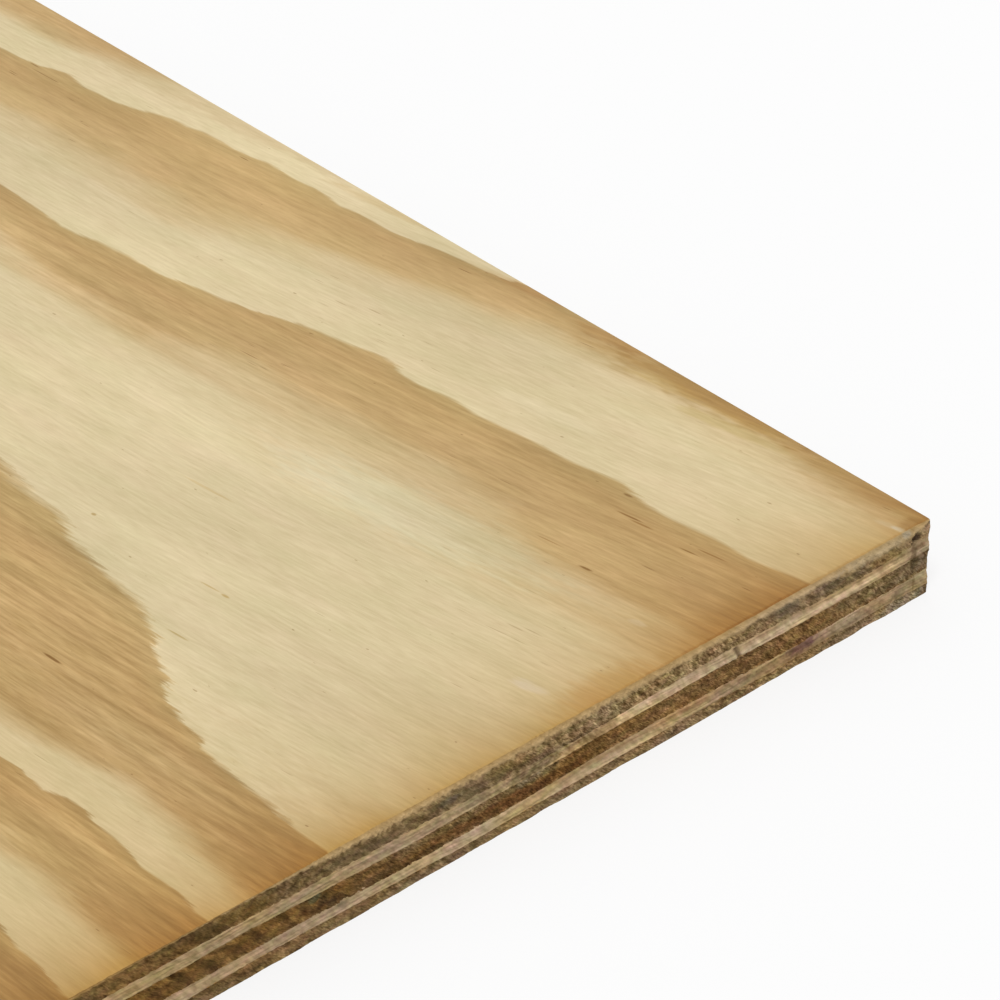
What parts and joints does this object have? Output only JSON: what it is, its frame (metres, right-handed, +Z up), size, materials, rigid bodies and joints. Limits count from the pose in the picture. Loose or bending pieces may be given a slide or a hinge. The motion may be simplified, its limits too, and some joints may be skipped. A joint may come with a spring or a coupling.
{
  "type": "plywood sheet",
  "caption": "Full-size softwood plywood sheet of cross-laid veneers with sawn edges, wandering glue lines and a torn end arris.",
  "frame": {"origin": "middle of the underside, on the floor the sheet lies on", "axes": "+X along the sheet's length and the face grain, +Y across its width, +Z up through the plies to the show face"},
  "size_m": [2.44, 1.22, 0.018],
  "materials": {
    "face_veneer": "sanded rotary-cut pine, unfinished",
    "crossband_veneer": "sawn pine long grain, unfinished",
    "core_veneer": "sawn pine end grain, darkened, unfinished",
    "back_veneer": "rotary-cut pine, unfinished"
  },
  "bodies": {
    "root": {"face_veneer": "face_veneer", "upper_crossband": "crossband_veneer", "core_veneer": "core_veneer", "lower_crossband": "crossband_veneer", "back_veneer": "back_veneer"}
  },
  "joints": []
}
